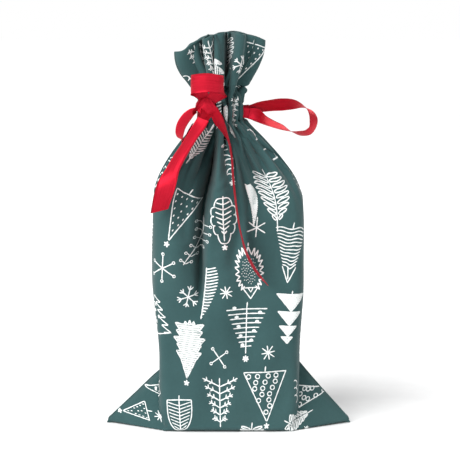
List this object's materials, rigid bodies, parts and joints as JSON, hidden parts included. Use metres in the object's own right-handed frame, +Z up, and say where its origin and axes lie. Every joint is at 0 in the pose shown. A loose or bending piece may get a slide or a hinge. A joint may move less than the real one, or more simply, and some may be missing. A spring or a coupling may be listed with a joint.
{
  "type": "wine gift bag",
  "caption": "Tall drawstring cloth bag that holds a wine bottle, gathered at the neck by a satin ribbon tied in a bow, with a frill above and soft corners at the base.",
  "frame": {"origin": "centre of the base, on the surface the bag stands on", "axes": "+Z up the bag to its mouth, -Y is the front, +X to the right seen from the front"},
  "size_m": [0.217, 0.1081, 0.3442],
  "materials": {
    "cotton": "plain-weave printed cotton, matt",
    "thread": "sewing thread, matt",
    "satin": "satin ribbon, glossy along its weave"
  },
  "bodies": {
    "bag": {"front_panel": "cotton", "back_panel": "cotton", "left_side_seam": "thread", "right_side_seam": "thread", "bottom_seam": "thread", "lower_casing_stitches": "thread", "front_casing": "cotton", "back_casing": "cotton", "front_casing_ribbon": "satin", "back_casing_ribbon": "satin", "upper_casing_stitches": "thread", "front_frill": "cotton", "back_frill": "cotton", "left_frill_seam": "thread", "right_frill_seam": "thread", "bow_knot": "satin"},
    "top_loop": {"bow_loop_top": "satin"},
    "left_loop": {"bow_loop_left": "satin"},
    "left_tail": {"ribbon_tail_left": "satin"},
    "front_tail": {"ribbon_tail_front": "satin"},
    "pull_loop": {"ribbon_pull_loop": "satin"}
  },
  "joints": [
    {"name": "top_loop_fold", "type": "hinge", "parent": "bag", "child": "top_loop", "pos_m": [-0.0185, -0.0254, 0.2868], "axis": [1, 0, 0], "range_deg": [0, 40]},
    {"name": "left_loop_lift", "type": "hinge", "parent": "bag", "child": "left_loop", "pos_m": [-0.0275, -0.021, 0.278], "axis": [0, 1, 0], "range_deg": [0, 35]},
    {"name": "left_tail_lift", "type": "hinge", "parent": "bag", "child": "left_tail", "pos_m": [-0.0215, -0.031, 0.2715], "axis": [-1, 0, 0], "range_deg": [0, 50]},
    {"name": "front_tail_lift", "type": "hinge", "parent": "bag", "child": "front_tail", "pos_m": [-0.012, -0.0265, 0.2765], "axis": [-1, 0, 0], "range_deg": [0, 55]},
    {"name": "pull_loop_swing", "type": "hinge", "parent": "bag", "child": "pull_loop", "pos_m": [0.0178, 0, 0.275], "axis": [0, 0, 1], "range_deg": [-25, 25]}
  ]
}
